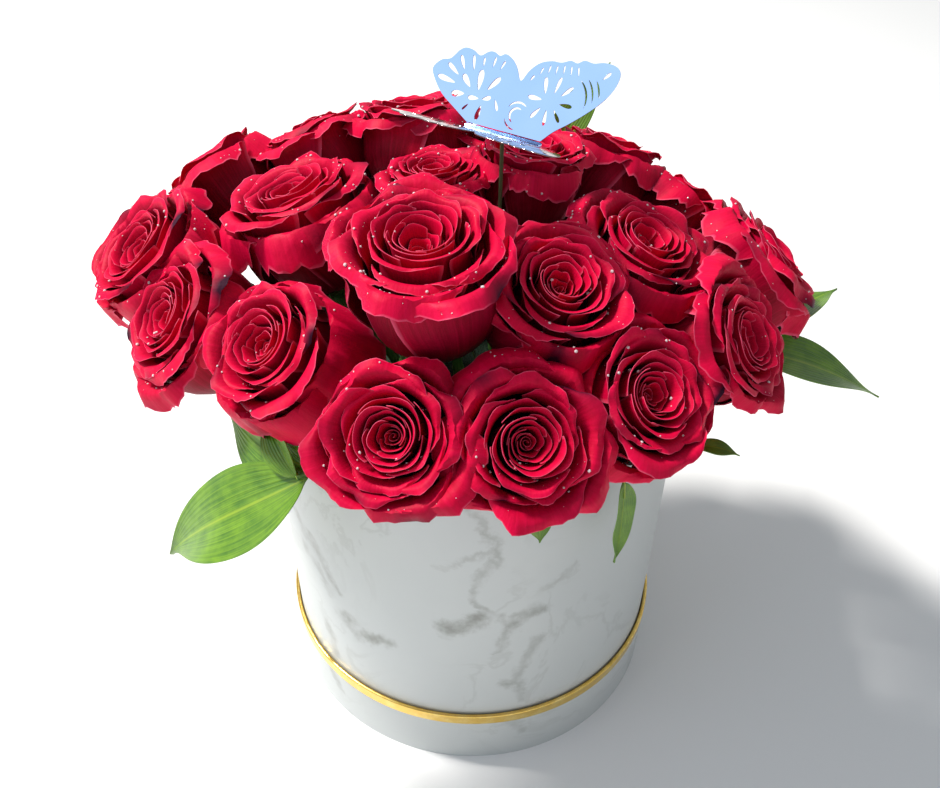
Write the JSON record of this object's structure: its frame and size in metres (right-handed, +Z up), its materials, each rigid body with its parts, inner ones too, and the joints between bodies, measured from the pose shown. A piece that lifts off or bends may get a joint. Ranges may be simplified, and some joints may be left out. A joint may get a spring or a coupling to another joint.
{
  "type": "flower box",
  "caption": "Round marble-paper hat box standing in its upturned lid, packed with a dome of roses and leaves in wet foam, with a folded card butterfly on a pick.",
  "frame": {"origin": "centre of the lid's resting face, on the axis of the box", "axes": "+Z up along the box's axis, -Y towards the front of the arrangement, +X to its right seen from the front"},
  "size_m": [0.3706, 0.3063, 0.3288],
  "materials": {
    "board": "matte",
    "marble_paper": "satin",
    "white_paper": "matte",
    "gold_edging": "polished",
    "liner_plastic": "gloss",
    "wet_foam": "matte",
    "petals": "satin",
    "calyx_green": "satin",
    "stem_green": "satin",
    "leaf_green": "gloss",
    "mirror_card": "polished",
    "foam_pad": "matte",
    "pick_wood": "matte"
  },
  "bodies": {
    "lid": {"lid_panel": "board", "lid_wall": "board", "lid_face_paper": "white_paper", "lid_wrap": "marble_paper", "lid_edging": "gold_edging"},
    "box": {"box_wall": "board", "box_base": "board", "box_base_paper": "white_paper", "box_wrap": "marble_paper", "box_lining": "white_paper"},
    "insert": {"liner": "liner_plastic", "foam_block": "wet_foam", "rose_stems": "stem_green", "rose_calyxes": "calyx_green", "leaf_stalks": "stem_green", "rose_01": "petals", "rose_02": "petals", "rose_03": "petals", "rose_04": "petals", "rose_05": "petals", "rose_06": "petals", "rose_07": "petals", "rose_08": "petals", "rose_09": "petals", "rose_10": "petals", "rose_11": "petals", "rose_12": "petals", "rose_13": "petals", "rose_14": "petals", "rose_15": "petals", "rose_16": "petals", "rose_17": "petals", "rose_18": "petals", "rose_19": "petals", "rose_20": "petals", "rose_21": "petals", "rose_22": "petals", "rose_23": "petals", "rose_24": "petals", "leaf_01": "leaf_green", "leaf_02": "leaf_green", "leaf_03": "leaf_green", "leaf_04": "leaf_green", "leaf_05": "leaf_green", "leaf_06": "leaf_green", "leaf_07": "leaf_green", "leaf_08": "leaf_green", "leaf_09": "leaf_green", "leaf_10": "leaf_green", "leaf_11": "leaf_green", "leaf_12": "leaf_green", "leaf_13": "leaf_green", "leaf_14": "leaf_green"},
    "butterfly": {"butterfly_spine": "mirror_card", "butterfly_pad": "foam_pad", "butterfly_pick": "pick_wood"},
    "far_wing": {"wing_far": "mirror_card"},
    "near_wing": {"wing_near": "mirror_card"}
  },
  "joints": [
    {"name": "lid_lift", "type": "slide", "parent": "lid", "child": "box", "axis": [0, 0, 1], "range_m": [0, 0.06]},
    {"name": "insert_lift", "type": "slide", "parent": "box", "child": "insert", "axis": [0, 0, 1], "range_m": [0, 0.22]},
    {"name": "pick_pull", "type": "slide", "parent": "insert", "child": "butterfly", "axis": [0, 0, 1], "range_m": [0, 0.12]},
    {"name": "wing_far_fold", "type": "hinge", "parent": "butterfly", "child": "far_wing", "pos_m": [0.00987, -0.00966, 0.2993], "axis": [0.8387, -0.5446, 0], "range_deg": [-30, 15]},
    {"name": "wing_near_fold", "type": "hinge", "parent": "butterfly", "child": "near_wing", "pos_m": [0.00813, -0.01234, 0.2993], "axis": [-0.8387, 0.5446, 0], "range_deg": [-10, 40]}
  ]
}
